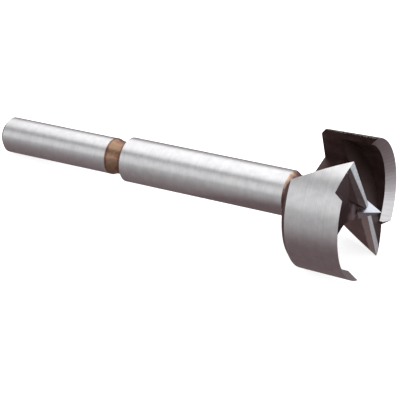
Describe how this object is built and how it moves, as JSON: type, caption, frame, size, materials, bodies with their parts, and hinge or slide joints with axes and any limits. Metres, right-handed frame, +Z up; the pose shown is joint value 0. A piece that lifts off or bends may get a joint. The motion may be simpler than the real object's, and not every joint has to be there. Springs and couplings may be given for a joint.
{
  "type": "forstner bit",
  "caption": "Left-hand forstner bit: round shank, thicker ground body and a cup-shaped head with rim cutters, lifters, chip throats and a pointed spur, for flat-bottomed holes in wood.",
  "frame": {"origin": "centre of the bit's footprint on the bench it rests on", "axes": "+X along the bit, from the shank to the cutting head; +Z up"},
  "size_m": [0.1086, 0.035, 0.0333],
  "materials": {
    "tool_steel": "ground tool steel, with brown oxide left where it was not ground"
  },
  "bodies": {
    "root": {"forstner_bit": "tool_steel"}
  },
  "joints": []
}
